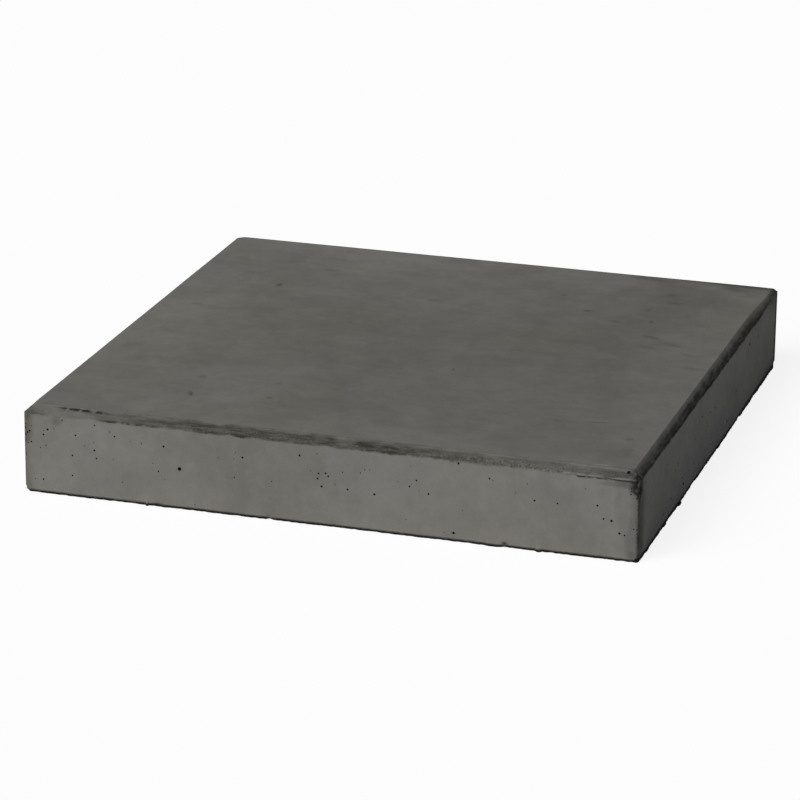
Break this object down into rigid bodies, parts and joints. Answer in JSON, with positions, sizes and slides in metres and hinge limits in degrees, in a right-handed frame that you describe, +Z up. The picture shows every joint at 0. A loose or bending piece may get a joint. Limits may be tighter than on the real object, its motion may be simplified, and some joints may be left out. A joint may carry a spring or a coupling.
{
  "type": "pillar cap",
  "caption": "Flat square concrete pillar cap, cast in one piece, with a chamfered arris round its top face and a drip groove round its underside.",
  "frame": {"origin": "centre of the underside, on the plane the cap rests on", "axes": "+Z up through the top face, +X along the front edge to the right, +Y from front to back"},
  "size_m": [0.45, 0.45, 0.065],
  "materials": {
    "concrete": "matte cast concrete, mid to dark grey, smooth mould faces with small air holes in the sides"
  },
  "bodies": {
    "root": {"pillar_cap": "concrete"}
  },
  "joints": []
}
